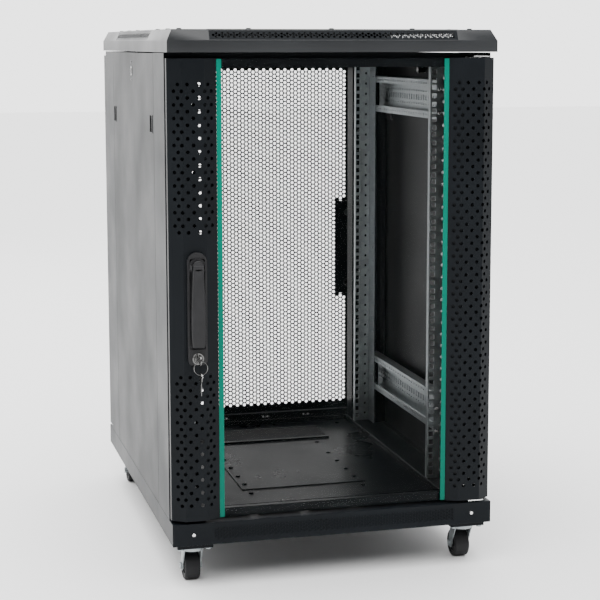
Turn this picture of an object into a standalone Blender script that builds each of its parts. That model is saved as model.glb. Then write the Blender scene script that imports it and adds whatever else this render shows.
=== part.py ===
"""Network server rack cabinet: 18 units high, 600 wide, 800 deep, on four casters.

Lengths are millimetres in the constants and metres in the meshes. X runs to the right
when looking at the glass door, Y runs from the door to the back, and Z is up from the floor.
The cabinet_origin empty shifts everything so that the world origin is under the middle.
"""
import math

import bpy
import bmesh
from mathutils import Matrix, Vector

MM = 0.001

# Driving dimensions
WIDTH = 600.0
DEPTH = 800.0
CASTER_HEIGHT = 78.0
PLINTH_HEIGHT = 40.0
HEIGHT = 988.0
COVER_BAND = 20.0
COVER_SLOPE = 20.0
COVER_INSET = 10.0
SHEET = 1.5
GAP = 0.3
RACK_UNITS = 18
UNIT = 44.45

SIDE = WIDTH / 2
PLINTH_TOP = CASTER_HEIGHT + PLINTH_HEIGHT
COVER_BASE = HEIGHT - COVER_BAND - COVER_SLOPE
MIDDLE = DEPTH / 2

# Front and rear frames, measured from the cabinet's left side and from its front or rear
FRAME_DEPTH = 146.0
FRAME_EDGE = 34.0
FLANGE_SET_BACK = 52.0
POST_WIDTH = 62.0
POST_RETURN = 92.0
SIDE_RETURN = 22.0
FRAME_BOTTOM = PLINTH_TOP + GAP
FRAME_TOP = COVER_BASE - 1.0
BEAM_HEIGHT = 14.5
KEEPER = (10.0, 16.0)
TRAY_SIDE = 235.5
TRAY_START = 54.5
TRAY_DEPTH = 11.2

# 19-inch mounting rails and the depth rails that carry them
RAIL_INNER = 225.0
RAIL_OUTER = 261.7
RAIL_FRONT = 148.0
RAIL_SHEET = 2.0
RAIL_LIP = 12.0
RAIL_SIDE = 40.0
RAIL_MARGIN = 5.0
DEPTH_RAIL_OUTER = 284.0
DEPTH_RAIL_INNER = 262.0
DEPTH_RAIL_HALF = 38.0
DEPTH_RAIL_LIP = 14.0
DEPTH_RAIL_HEIGHTS = {"upper": 856.0, "lower": 243.0}

# Glass door
DOOR_BOTTOM = 123.0
DOOR_TOP = 938.0
DOOR_DEPTH = 28.0
COLUMN_FACETS = ((1.0, 15.0), (24.0, 0.0), (65.0, 0.0), (87.0, 10.0))
COLUMN_WALL = 64.0
GLASS_FRONT = 12.0
GLASS_THICK = 4.0
GLASS_EDGE = 68.0
STRIPE = (87.4, 96.4)
INNER_FRAME_BAR = 16.0
FRONT_HINGE = Vector((272.0, 20.0))
FRONT_PIN = 4.0

# Rear door
REAR_DOOR_DEPTH = 28.0
REAR_DOOR_SIDE = SIDE - 1.0
REAR_HINGE = Vector((-286.0, 786.0))
REAR_PIN = 3.0

# Swing handle, measured from its pivot
HANDLE_X = 253.0
HANDLE_PIVOT_Z = 580.0
HOUSING_TOP = 25.0
HOUSING_BOTTOM = -173.0
HOUSING_HALF = 17.0
HOUSING_THICK = 9.0
LEVER_BACK = 12.0
LEVER_THICK = 11.0
LEVER_LENGTH = 141.0
LOCK_DROP = -162.0
PLUG_RADIUS = 7.0
PLUG_FACE = 11.0
CAM_DEPTH = 40.0
CAM_LENGTH = 28.0
KEY_HOLE = 33.0
KEY_BOW = 10.0
RING_RADIUS = 12.0
RING_WIRE = 0.8
SPARE_BOW = 9.5

# Side panels
PANEL_DEPTH = 12.0
PANEL_SHEET = 1.2
PANEL_BOTTOM = PLINTH_TOP + 1.0
PANEL_TOP = COVER_BASE - 2.0
PANEL_START = FRAME_DEPTH + 0.6
LATCH_INSET = 26.0
LATCH_Z = 819.0
SIDE_LOCK_Z = 911.0

# Roof fans
FAN_X = 80.0
FAN_SIZE = 120.0
FAN_THICK = 25.0
FAN_BORE = 57.0
FAN_TOP = HEIGHT - SHEET - GAP
FAN_BLADES = 7

# Casters
CASTER_INSET = 42.0
CASTER_TRAIL = 17.0
WHEEL_RADIUS = 25.0
WHEEL_WIDTH = 28.0
AXLE_RADIUS = 4.0
MOUNT_SIZE = 65.0
MOUNT_THICK = 8.0

FRONT_REACH = KEY_HOLE + SPARE_BOW
REAR_REACH = LEVER_BACK + LEVER_THICK
ORIGIN_SHIFT = (FRONT_REACH - DEPTH - REAR_REACH) / 2

MATERIALS = {
    "black_paint": ((0.025, 0.026, 0.028), 0.55, 0.0),
    "grey_paint": ((0.05, 0.05, 0.053), 0.5, 0.0),
    "zinc": ((0.55, 0.57, 0.58), 0.38, 0.9),
    "chrome": ((0.75, 0.76, 0.78), 0.15, 1.0),
    "glass": ((0.75, 0.82, 0.82), 0.05, 0.0),
    "green": ((0.01, 0.42, 0.30), 0.35, 0.0),
    "black_plastic": ((0.02, 0.02, 0.022), 0.4, 0.0),
    "tread": ((0.018, 0.018, 0.019), 0.5, 0.0),
}


# Scene set-up

def clear_scene():
    for item in list(bpy.data.objects):
        bpy.data.objects.remove(item, do_unlink=True)


def make_materials():
    made = {}
    for name, (colour, roughness, metallic) in MATERIALS.items():
        material = bpy.data.materials.new(name)
        material.use_nodes = True
        shader = material.node_tree.nodes["Principled BSDF"]
        shader.inputs["Base Color"].default_value = (*colour, 1.0)
        shader.inputs["Roughness"].default_value = roughness
        shader.inputs["Metallic"].default_value = metallic
        made[name] = material
    return made


clear_scene()
PAINTS = make_materials()
CABINET = bpy.data.collections.new("server_rack_cabinet")
bpy.context.scene.collection.children.link(CABINET)
ORIGIN = bpy.data.objects.new("cabinet_origin", None)
ORIGIN.location.y = ORIGIN_SHIFT * MM
CABINET.objects.link(ORIGIN)


# Modelling helpers: every shape is a temporary object in cabinet coordinates

def from_bmesh(bm):
    mesh = bpy.data.meshes.new("shape")
    bmesh.ops.recalc_face_normals(bm, faces=bm.faces)
    bm.to_mesh(mesh)
    bm.free()
    shape = bpy.data.objects.new("shape", mesh)
    bpy.context.scene.collection.objects.link(shape)
    return shape


def box(x, y, z):
    """A box between the low and high values given for each axis."""
    size = Vector((x[1] - x[0], y[1] - y[0], z[1] - z[0])) * MM
    centre = Vector((x[1] + x[0], y[1] + y[0], z[1] + z[0])) * MM / 2
    bm = bmesh.new()
    bmesh.ops.create_cube(bm, matrix=Matrix.LocRotScale(centre, None, size))
    return from_bmesh(bm)


def frustum(x, y, z, inset):
    """A box whose top face is drawn in by the inset on every side."""
    shape = box(x, y, z)
    middle = Vector((x[1] + x[0], y[1] + y[0])) * MM / 2
    for vertex in shape.data.vertices:
        if vertex.co.z > z[0] * MM + 1e-6:
            for axis in (0, 1):
                side = math.copysign(inset * MM, vertex.co[axis] - middle[axis])
                vertex.co[axis] -= side
    return shape


def cylinder(centre, radius, length, axis="Z", sides=32):
    turn = {"X": Matrix.Rotation(math.pi / 2, 4, "Y"),
            "Y": Matrix.Rotation(math.pi / 2, 4, "X"),
            "Z": Matrix.Identity(4)}[axis]
    bm = bmesh.new()
    bmesh.ops.create_cone(bm, cap_ends=True, segments=sides, radius1=radius * MM,
                          radius2=radius * MM, depth=length * MM,
                          matrix=Matrix.Translation(Vector(centre) * MM) @ turn)
    return from_bmesh(bm)


def outline(points, low, high, axis="Z"):
    """A flat outline given thickness from low to high along an axis.

    The points are (x, y) for axis Z, (x, z) for axis Y and (y, z) for axis X.
    """
    curve = bpy.data.curves.new("outline", "CURVE")
    curve.dimensions = "2D"
    curve.fill_mode = "BOTH"
    curve.extrude = (high - low) / 2 * MM
    spline = curve.splines.new("POLY")
    spline.points.add(len(points) - 1)
    for point, (a, b) in zip(spline.points, points):
        point.co = (a * MM, b * MM, 0, 1)
    spline.use_cyclic_u = True
    holder = bpy.data.objects.new("outline", curve)
    bpy.context.scene.collection.objects.link(holder)
    shape = solid_from(holder)
    middle = (high + low) / 2 * MM
    columns = {"Z": ((1, 0, 0), (0, 1, 0), (0, 0, 1)),
               "Y": ((1, 0, 0), (0, 0, 1), (0, -1, 0)),
               "X": ((0, 1, 0), (0, 0, 1), (1, 0, 0))}[axis]
    turn = Matrix(columns).transposed().to_4x4()
    shift = Vector((0, 0, 0))
    shift["XYZ".index(axis)] = middle
    shape.data.transform(Matrix.Translation(shift) @ turn)
    return shape


def solid_from(holder):
    """Turns a curve object into a welded, closed mesh object."""
    graph = bpy.context.evaluated_depsgraph_get()
    mesh = bpy.data.meshes.new_from_object(holder.evaluated_get(graph))
    bm = bmesh.new()
    bm.from_mesh(mesh)
    bmesh.ops.remove_doubles(bm, verts=bm.verts, dist=1e-6)
    curve = holder.data
    bpy.data.objects.remove(holder)
    bpy.data.curves.remove(curve)
    bpy.data.meshes.remove(mesh)
    return from_bmesh(bm)


def ring(centre, radius, wire, axis="Z", sides=28, wire_sides=8):
    """A round ring of wire, centred on a point, around an axis."""
    turn = {"Y": (math.pi / 2, 0, 0), "Z": (0, 0, 0)}[axis]
    bpy.ops.mesh.primitive_torus_add(major_radius=radius * MM, minor_radius=wire * MM,
                                     major_segments=sides, minor_segments=wire_sides)
    shape = bpy.context.object
    place = Matrix.Translation(Vector(centre) * MM)
    shape.data.transform(place @ Matrix.Rotation(turn[0], 4, "X"))
    return shape


def combine(shape, tools, operation):
    for tool in tools:
        change = shape.modifiers.new("combine", "BOOLEAN")
        change.object = tool
        change.operation = operation
        change.solver = "EXACT"
    graph = bpy.context.evaluated_depsgraph_get()
    mesh = bpy.data.meshes.new_from_object(shape.evaluated_get(graph))
    shape.modifiers.clear()
    shape.data = mesh
    for tool in tools:
        bpy.data.objects.remove(tool)
    return shape


def join(shape, *tools):
    return combine(shape, tools, "UNION")


def cut(shape, *tools):
    return combine(shape, tools, "DIFFERENCE")


def mirrored(shape, centre=None):
    """A copy of a shape on the other side of X = 0, or of a depth given as centre."""
    copy = shape.copy()
    copy.data = shape.data.copy()
    bpy.context.scene.collection.objects.link(copy)
    axis = (1, 0, 0) if centre is None else (0, 1, 0)
    flip = Matrix.Scale(-1, 4, axis)
    if centre is not None:
        flip = Matrix.Translation((0, 2 * centre * MM, 0)) @ flip
    copy.data.transform(flip)
    copy.data.flip_normals()
    return copy


def part(shape, name, paint, origin=(0, 0, 0)):
    """Names a finished shape, paints it and moves its origin to a point."""
    point = Vector(origin) * MM
    shape.name = name
    shape.data.name = name
    shape.data.transform(Matrix.Translation(-point))
    shape.location = point
    shape.parent = ORIGIN
    shape.data.materials.clear()
    shape.data.materials.append(PAINTS[paint])
    shape.data.shade_smooth()
    shape.data.set_sharp_from_angle(angle=math.radians(35))
    for holder in list(shape.users_collection):
        holder.objects.unlink(shape)
    CABINET.objects.link(shape)
    return shape


def both_sides(shape, name, paint, origin=(0, 0, 0)):
    """The left part from a shape at negative X, and the right part from its mirror."""
    other = mirrored(shape)
    part(shape, name + "_left", paint, origin)
    part(other, name + "_right", paint, (-origin[0], origin[1], origin[2]))


# Base, floor and frames

def base_frame():
    shape = box((-SIDE, SIDE), (1, DEPTH - 1), (CASTER_HEIGHT, PLINTH_TOP))
    wall = 3.0
    inside = box((wall - SIDE, SIDE - wall), (wall + 1, DEPTH - wall - 1),
                 (CASTER_HEIGHT - 5, PLINTH_TOP - 2))
    well = TRAY_SIDE + GAP
    opening = box((-well, well), (TRAY_START - GAP, DEPTH - TRAY_START + GAP),
                  (PLINTH_TOP - 10, PLINTH_TOP + 5))
    cut(shape, inside, opening)
    reach = 100.0
    corners = []
    for x in ((1 - SIDE, reach - SIDE), (SIDE - reach, SIDE - 1)):
        for y in ((2, reach), (DEPTH - reach, DEPTH - 2)):
            corners.append(box(x, y, (CASTER_HEIGHT, CASTER_HEIGHT + wall)))
    part(join(shape, *corners), "base_frame", "black_paint")


def bottom_panel():
    """A shallow tray let into the base frame, with a cable cut-out towards the back."""
    y = (TRAY_START, DEPTH - TRAY_START)
    low = PLINTH_TOP - GAP - TRAY_DEPTH
    shape = box((-TRAY_SIDE, TRAY_SIDE), y, (low, PLINTH_TOP - GAP))
    pocket = box((SHEET - TRAY_SIDE, TRAY_SIDE - SHEET), (y[0] + SHEET, y[1] - SHEET),
                 (low + SHEET, PLINTH_TOP + 5))
    cable_entry = box((-150, 150), (590, 690), (low - 5, low + 5))
    part(cut(shape, pocket, cable_entry), "bottom_panel", "black_paint")


def frame_shape():
    """The front frame: two folded posts, a head beam, a sill and the lock's keeper."""
    inner = POST_WIDTH - SHEET
    side = ((0, FRAME_EDGE), (SHEET, FRAME_EDGE), (SHEET, FLANGE_SET_BACK),
            (POST_WIDTH, FLANGE_SET_BACK), (POST_WIDTH, POST_RETURN), (inner, POST_RETURN),
            (inner, FLANGE_SET_BACK + SHEET), (SHEET, FLANGE_SET_BACK + SHEET),
            (SHEET, FRAME_DEPTH - SHEET), (SIDE_RETURN, FRAME_DEPTH - SHEET),
            (SIDE_RETURN, FRAME_DEPTH), (0, FRAME_DEPTH))
    left = outline([(x - SIDE, y) for x, y in side], FRAME_BOTTOM, FRAME_TOP)
    right = mirrored(left)
    reach = SIDE - POST_WIDTH + 1
    front = (FLANGE_SET_BACK, FLANGE_SET_BACK + SHEET)
    head = box((-reach, reach), front, (FRAME_TOP - BEAM_HEIGHT, FRAME_TOP))
    head_flange = box((-reach, reach), (front[0], POST_RETURN - 2),
                      (FRAME_TOP - SHEET, FRAME_TOP))
    sill = box((-reach, reach), front, (FRAME_BOTTOM, FRAME_BOTTOM + BEAM_HEIGHT))
    return join(left, right, head, head_flange, sill)


def keeper(side, depth):
    """The tab behind which the handle's cam turns."""
    edges = sorted((side * (SIDE - KEEPER[0]), side * (SIDE - KEEPER[1])))
    return box(edges, depth, (HANDLE_PIVOT_Z - 15, HANDLE_PIVOT_Z + 15))


def frames():
    front = frame_shape()
    rear = mirrored(front, MIDDLE)
    join(front, keeper(-1, (CAM_DEPTH, FLANGE_SET_BACK + 1)))
    join(rear, keeper(1, (DEPTH - FLANGE_SET_BACK - 1, DEPTH - CAM_DEPTH)))
    part(front, "front_frame", "black_paint")
    part(rear, "rear_frame", "black_paint")


# Rails

def mounting_rails():
    """Angle rails with a folded inner lip, one at each corner of the equipment bay."""
    height = RACK_UNITS * UNIT
    bottom = (FRAME_BOTTOM + FRAME_TOP - height) / 2 - RAIL_MARGIN
    face = RAIL_FRONT
    back = face + RAIL_SHEET
    profile = ((-RAIL_OUTER, face), (-RAIL_INNER, face), (-RAIL_INNER, face + RAIL_LIP),
               (-RAIL_INNER - RAIL_SHEET, face + RAIL_LIP), (-RAIL_INNER - RAIL_SHEET, back),
               (RAIL_SHEET - RAIL_OUTER, back), (RAIL_SHEET - RAIL_OUTER, face + RAIL_SIDE),
               (-RAIL_OUTER, face + RAIL_SIDE))
    front = outline(profile, bottom, bottom + height + 2 * RAIL_MARGIN)
    rear = mirrored(front, MIDDLE)
    both_sides(front, "mounting_rail_front", "zinc")
    both_sides(rear, "mounting_rail_rear", "zinc")


def depth_rails():
    """Lipped channels that open inwards and join the front frame to the rear frame."""
    outer, inner = -DEPTH_RAIL_OUTER, -DEPTH_RAIL_INNER
    half, lip = DEPTH_RAIL_HALF, DEPTH_RAIL_HALF - DEPTH_RAIL_LIP
    upper = ((inner - SHEET, lip), (inner, lip), (inner, half), (outer, half))
    lower = tuple((x, -z) for x, z in reversed(upper))
    hollow = ((inner - SHEET, SHEET - half), (outer + SHEET, SHEET - half),
              (outer + SHEET, half - SHEET), (inner - SHEET, half - SHEET))
    for level, height in DEPTH_RAIL_HEIGHTS.items():
        points = [(x, z + height) for x, z in upper + lower + hollow]
        shape = outline(points, FRAME_DEPTH + GAP, DEPTH - FRAME_DEPTH - GAP, "Y")
        both_sides(shape, "depth_rail_" + level, "zinc")


# Roof

def top_cover():
    seat = COVER_BASE + GAP
    band_top = COVER_BASE + COVER_BAND
    outside = box((-SIDE, SIDE), (0, DEPTH), (seat, band_top))
    slope = frustum((-SIDE, SIDE), (0, DEPTH), (band_top, HEIGHT), COVER_INSET)
    join(outside, slope)
    inside = box((SHEET - SIDE, SIDE - SHEET), (SHEET, DEPTH - SHEET),
                 (seat + SHEET, band_top))
    under_slope = frustum((SHEET - SIDE, SIDE - SHEET), (SHEET, DEPTH - SHEET),
                          (band_top, HEIGHT - SHEET), COVER_INSET)
    join(inside, under_slope)
    opening = box((-265, 265), (35, DEPTH - 35), (seat - 5, seat + 5))
    cable_entry = box((-130, 130), (690, 750), (HEIGHT - 5, HEIGHT + 5))
    fan_holes = [cylinder((x, MIDDLE, HEIGHT), FAN_BORE, 10, sides=48)
                 for x in (-FAN_X, FAN_X)]
    part(cut(outside, inside, opening, cable_entry, *fan_holes), "top_cover", "black_paint")


def fan_housing():
    half = FAN_SIZE / 2
    low = FAN_TOP - FAN_THICK
    x, y = -FAN_X, MIDDLE
    shape = box((x - half, x + half), (y - half, y + half), (low, FAN_TOP))
    cut(shape, cylinder((x, y, FAN_TOP), FAN_BORE, 4 * FAN_THICK, sides=48))
    arm = 3.0
    arms = (box((x - half + 1, x + half - 1), (y - arm, y + arm), (low, low + 3)),
            box((x - arm, x + arm), (y - half + 1, y + half - 1), (low, low + 3)),
            cylinder((x, y, low + 2), 21, 4, sides=24))
    join(shape, *arms)
    both_sides(shape, "fan_housing", "black_plastic", (x, y, FAN_TOP))


def fan_rotor():
    x, y = -FAN_X, MIDDLE
    low = FAN_TOP - FAN_THICK + 5
    hub = cylinder((x, y, low + 9), 19, 18, sides=28)
    blades = []
    for index in range(FAN_BLADES):
        blade = box((16, 54), (-9, 9), (-0.8, 0.8))
        pitch = Matrix.Rotation(math.radians(35), 4, "X")
        spin = Matrix.Rotation(math.tau * index / FAN_BLADES, 4, "Z")
        blade.data.transform(Matrix.Translation(Vector((x, y, low + 9)) * MM) @ spin @ pitch)
        blades.append(blade)
    join(hub, *blades)
    both_sides(hub, "fan_rotor", "black_plastic", (x, y, low))


def fan_guard():
    x, y = -FAN_X, MIDDLE
    low, high = HEIGHT - SHEET + 0.1, HEIGHT
    middle = (low + high) / 2
    thick = high - low
    shape = cylinder((x, y, middle), FAN_BORE - 0.5, thick, sides=40)
    cut(shape, cylinder((x, y, middle), FAN_BORE - 4, 5, sides=40))
    inner = cylinder((x, y, middle), 30, thick, sides=28)
    cut(inner, cylinder((x, y, middle), 26, 5, sides=28))
    reach = FAN_BORE - 2
    bars = (box((x - reach, x + reach), (y - 1.5, y + 1.5), (low, high)),
            box((x - 1.5, x + 1.5), (y - reach, y + reach), (low, high)))
    join(shape, inner, *bars)
    both_sides(shape, "fan_guard", "chrome", (x, y, HEIGHT))


# Doors

def door_columns():
    """Faceted sheet columns, open at the back, with a lip over the glass."""
    facets = [(x - SIDE, y) for x, y in COLUMN_FACETS]
    wall = COLUMN_WALL - SIDE
    lip = facets[-1][0]
    edge = facets[0][0]
    outside = [(edge, DOOR_DEPTH)] + facets + [
        (lip, GLASS_FRONT - 0.4), (wall, GLASS_FRONT - 0.4), (wall, DOOR_DEPTH)]
    inside = ((edge + SHEET, DOOR_DEPTH + 2), (edge + SHEET, facets[0][1] + 0.8),
              (facets[1][0] + 0.3, SHEET), (wall - SHEET, SHEET),
              (wall - SHEET, DOOR_DEPTH + 2))
    shape = outline(outside, DOOR_BOTTOM, DOOR_TOP)
    cut(shape, outline(inside, DOOR_BOTTOM + SHEET, DOOR_TOP - SHEET))
    right = mirrored(shape)
    shaft = cylinder((-HANDLE_X, 0, HANDLE_PIVOT_Z), 9, 20, "Y", 24)
    lock = cylinder((-HANDLE_X, 0, HANDLE_PIVOT_Z + LOCK_DROP), 10, 20, "Y", 24)
    cut(shape, shaft, lock)
    middle = (DOOR_TOP + DOOR_BOTTOM) / 2
    cut(right, cylinder((*FRONT_HINGE, middle), FRONT_PIN + 0.4, DOOR_TOP, sides=20))
    origin = (*FRONT_HINGE, DOOR_BOTTOM)
    part(shape, "door_column_left", "black_paint", origin)
    part(right, "door_column_right", "black_paint", origin)


def door_inner_frame():
    """The ring that ties the two columns together and backs the glass."""
    reach = SIDE - COLUMN_WALL - GAP
    front = GLASS_FRONT + GLASS_THICK + GAP
    clear = SIDE - COLUMN_FACETS[-1][0]
    low, high = DOOR_BOTTOM + INNER_FRAME_BAR, DOOR_TOP - INNER_FRAME_BAR
    shape = box((-reach, reach), (front, front + SHEET), (DOOR_BOTTOM, DOOR_TOP))
    lip = box((-clear - SHEET, clear + SHEET), (front + SHEET / 2, DOOR_DEPTH),
              (low - SHEET, high + SHEET))
    join(shape, lip)
    cut(shape, box((-clear, clear), (0, DOOR_DEPTH + 5), (low, high)))
    part(shape, "door_inner_frame", "black_paint", (*FRONT_HINGE, DOOR_BOTTOM))


def door_glass():
    origin = (*FRONT_HINGE, DOOR_BOTTOM)
    height = (DOOR_BOTTOM + 1, DOOR_TOP - 1)
    edge = SIDE - GLASS_EDGE
    pane = box((-edge, edge), (GLASS_FRONT, GLASS_FRONT + GLASS_THICK), height)
    part(pane, "glass_pane", "glass", origin)
    stripe = box((STRIPE[0] - SIDE, STRIPE[1] - SIDE),
                 (GLASS_FRONT - 1.0, GLASS_FRONT - GAP), height)
    other = mirrored(stripe)
    part(stripe, "glass_stripe_left", "green", origin)
    part(other, "glass_stripe_right", "green", origin)


def rear_door():
    back = (DEPTH - REAR_DOOR_DEPTH, DEPTH)
    side = REAR_DOOR_SIDE
    shape = box((-side, side), back, (DOOR_BOTTOM, DOOR_TOP))
    pocket = box((SHEET - side, side - SHEET), (back[0] - 5, DEPTH - SHEET),
                 (DOOR_BOTTOM + SHEET, DOOR_TOP - SHEET))
    middle = (DOOR_TOP + DOOR_BOTTOM) / 2
    pin = cylinder((*REAR_HINGE, middle), REAR_PIN + 0.4, DOOR_TOP, sides=20)
    shaft = cylinder((HANDLE_X, DEPTH, HANDLE_PIVOT_Z), 9, 20, "Y", 24)
    lock = cylinder((HANDLE_X, DEPTH, HANDLE_PIVOT_Z + LOCK_DROP), 10, 20, "Y", 24)
    cut(shape, pocket, pin, shaft, lock)
    part(shape, "rear_door", "black_paint", (*REAR_HINGE, DOOR_BOTTOM))


def hinge_bracket(axis, pin_radius, y, foot, half):
    """An angle above a door with its pin pointing down; its mirror stands below the door."""
    plate_low, plate_high = DOOR_TOP + 1.5, DOOR_TOP + 4.5
    x = (axis.x - half, axis.x + half)
    shape = box(x, y, (plate_low, plate_high))
    leg = box(x, foot, (DOOR_TOP - 30, plate_high))
    pin = cylinder((*axis, DOOR_TOP - 8), pin_radius, 20, sides=20)
    return join(shape, leg, pin)


def hinge_brackets():
    front_foot = (FLANGE_SET_BACK - 2.1, FLANGE_SET_BACK - GAP)
    rear_foot = (DEPTH - front_foot[1], DEPTH - front_foot[0])
    front = (FRONT_HINGE, FRONT_PIN, (6, front_foot[1]), front_foot, 15)
    rear = (REAR_HINGE, REAR_PIN, (rear_foot[0], DEPTH - 4), rear_foot, 12)
    middle = (DOOR_TOP + DOOR_BOTTOM) * MM
    flip = Matrix.Translation((0, 0, middle)) @ Matrix.Scale(-1, 4, (0, 0, 1))
    for side, sizes in (("front", front), ("rear", rear)):
        upper = hinge_bracket(*sizes)
        lower = hinge_bracket(*sizes)
        lower.data.transform(flip)
        lower.data.flip_normals()
        part(upper, side + "_hinge_top", "zinc", (*sizes[0], DOOR_TOP))
        part(lower, side + "_hinge_bottom", "zinc", (*sizes[0], DOOR_BOTTOM))


# Swing handles: modelled on the front door around the pivot, and turned round for the rear

def arc(centre, radius, start, end, steps):
    for index in range(steps + 1):
        angle = math.radians(start + (end - start) * index / steps)
        yield (centre[0] + radius * math.cos(angle), centre[1] + radius * math.sin(angle))


def handle_housing():
    half = HOUSING_HALF
    corner = 8.0
    top = list(arc((0, HOUSING_TOP - half), half, 0, 180, 12))
    left = arc((corner - half, HOUSING_BOTTOM + corner), corner, 180, 270, 4)
    right = arc((half - corner, HOUSING_BOTTOM + corner), corner, 270, 360, 4)
    shape = outline(top + list(left) + list(right), -GAP - HOUSING_THICK, -GAP, "Y")
    cut(shape, cylinder((0, 0, 0), 7.4, 40, "Y", 24),
        cylinder((0, 0, LOCK_DROP), PLUG_RADIUS + 0.4, 40, "Y", 24))
    return shape


def handle_hub():
    """The disc and ears that hold the lever, the shaft behind them and the cam on its end."""
    pin_depth = -LEVER_BACK - LEVER_THICK / 2
    front = -GAP - HOUSING_THICK - GAP
    head = cylinder((0, front - 0.9, 0), 15, 1.8, "Y", 32)
    ears = []
    for side in (-1, 1):
        x = sorted((side * 11.4, side * 13.4))
        ears.append(box(x, (pin_depth - 4, front - 1), (-4, 4)))
    shaft = cylinder((0, (front + CAM_DEPTH) / 2, 0), 7, CAM_DEPTH + 2 - front, "Y", 24)
    cam = box((-CAM_LENGTH, 8), (CAM_DEPTH, CAM_DEPTH + 3), (-8, 8))
    return join(head, *ears, shaft, cam)


def handle_lever():
    pin_depth = -LEVER_BACK - LEVER_THICK / 2
    top, bottom = 10.0, 13.0
    points = ((-top, 0), (top, 0), (bottom, 8 - LEVER_LENGTH), (bottom - 4, -LEVER_LENGTH),
              (4 - bottom, -LEVER_LENGTH), (-bottom, 8 - LEVER_LENGTH))
    blade = outline(points, -LEVER_BACK - LEVER_THICK, -LEVER_BACK, "Y")
    knuckle = cylinder((0, pin_depth, 0), LEVER_THICK / 2, 2 * top, "X", 24)
    pin = cylinder((0, pin_depth, 0), 2, 22.4, "X", 16)
    return join(blade, knuckle, pin)


def lock_plug():
    face = cylinder((0, (15 - PLUG_FACE) / 2, LOCK_DROP), PLUG_RADIUS, 15 + PLUG_FACE, "Y", 28)
    keyway = box((-1.2, 1.2), (-PLUG_FACE - 1, -PLUG_FACE + 6), (LOCK_DROP - 4, LOCK_DROP + 4))
    return cut(face, keyway)


def moved(shape, turn, shift):
    place = Matrix.Translation(Vector(shift) * MM) @ Matrix.Rotation(turn, 4, "Z")
    shape.data.transform(place)
    return shape


def swing_handles():
    pin_depth = LEVER_BACK + LEVER_THICK / 2
    places = {"front": (0.0, (-HANDLE_X, 0, HANDLE_PIVOT_Z)),
              "rear": (math.pi, (HANDLE_X, DEPTH, HANDLE_PIVOT_Z))}
    for side, (turn, pivot) in places.items():
        outward = -1 if side == "front" else 1
        pin = (pivot[0], pivot[1] + outward * pin_depth, pivot[2])
        lock = (pivot[0], pivot[1], pivot[2] + LOCK_DROP)
        part(moved(handle_housing(), turn, pivot), side + "_handle_housing",
             "black_plastic", pivot)
        part(moved(handle_hub(), turn, pivot), side + "_handle_hub", "zinc", pivot)
        part(moved(handle_lever(), turn, pivot), side + "_handle_lever", "black_plastic", pin)
        part(moved(lock_plug(), turn, pivot), side + "_lock_plug", "chrome", lock)


def keys():
    """The key in the front lock, and the ring on its bow with the spare key fused to it."""
    x, z = -HANDLE_X, HANDLE_PIVOT_Z + LOCK_DROP
    bow_y = KEY_BOW - 4 - KEY_HOLE
    key = cylinder((x, bow_y, z), KEY_BOW, 2, "X", 28)
    join(key, box((x - 0.8, x + 0.8), (bow_y, -PLUG_FACE + 5), (z - 3.5, z + 3.5)))
    cut(key, cylinder((x, -KEY_HOLE, z), 2.5, 10, "X", 16))
    part(key, "key", "chrome", (x, 0, z))
    loop = ring((x, -KEY_HOLE, z - RING_RADIUS), RING_RADIUS, RING_WIRE, "Y")
    spare_z = z - 2 * RING_RADIUS - 5
    bow = cylinder((x, -KEY_HOLE, spare_z), SPARE_BOW, 2, "X", 24)
    blade = box((x - 0.8, x + 0.8), (-KEY_HOLE - 3.5, -KEY_HOLE + 3.5),
                (spare_z - SPARE_BOW - 22, spare_z))
    part(join(bow, blade, loop), "key_ring", "chrome", (x, -KEY_HOLE, z))


# Side panels

def side_panels():
    """Lift-off pans, open inwards, with two latch windows and a lock hole."""
    y = (PANEL_START, DEPTH - PANEL_START)
    shape = box((-SIDE, PANEL_DEPTH - SIDE), y, (PANEL_BOTTOM, PANEL_TOP))
    cut(shape, box((PANEL_SHEET - SIDE, PANEL_DEPTH - SIDE + 5),
                   (y[0] + PANEL_SHEET, y[1] - PANEL_SHEET),
                   (PANEL_BOTTOM + PANEL_SHEET, PANEL_TOP - PANEL_SHEET)))
    face = (-SIDE - 5, PANEL_SHEET - SIDE + 1)
    windows = [box(face, (latch - 14, latch + 14), (LATCH_Z - 15, LATCH_Z + 15))
               for latch in latch_depths().values()]
    cut(shape, *windows, cylinder((-SIDE, MIDDLE, SIDE_LOCK_Z), 6.4, 10, "X", 24))
    both_sides(shape, "side_panel", "grey_paint", (-SIDE, MIDDLE, PANEL_BOTTOM))


def latch_depths():
    return {"front": FRAME_DEPTH + LATCH_INSET, "rear": DEPTH - FRAME_DEPTH - LATCH_INSET}


def side_latches():
    for place, depth in latch_depths().items():
        plate = box((PANEL_SHEET + GAP - SIDE, 4 - SIDE), (depth - 21, depth + 21),
                    (LATCH_Z - 20, LATCH_Z + 20))
        rib = box((GAP - SIDE, 3 - SIDE), (depth - 2.5, depth + 2.5),
                  (LATCH_Z - 14, LATCH_Z + 14))
        both_sides(join(plate, rib), "side_latch_" + place, "grey_paint",
                   (-SIDE, depth, LATCH_Z))


def side_locks():
    plug = cylinder((8 - SIDE, MIDDLE, SIDE_LOCK_Z), 5.8, 15.6, "X", 24)
    cam = box((13 - SIDE, 14.5 - SIDE), (MIDDLE - 5, MIDDLE + 5),
              (SIDE_LOCK_Z - 7, SIDE_LOCK_Z + 24))
    both_sides(join(plug, cam), "side_lock", "chrome", (-SIDE, MIDDLE, SIDE_LOCK_Z))


# Casters

def caster_mount(x, y):
    half = MOUNT_SIZE / 2
    top = CASTER_HEIGHT - GAP
    shape = box((x - half, x + half), (y - half, y + half), (top - MOUNT_THICK, top))
    return join(shape, cylinder((x, y, top - MOUNT_THICK - 1), 22, 4, sides=32))


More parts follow.
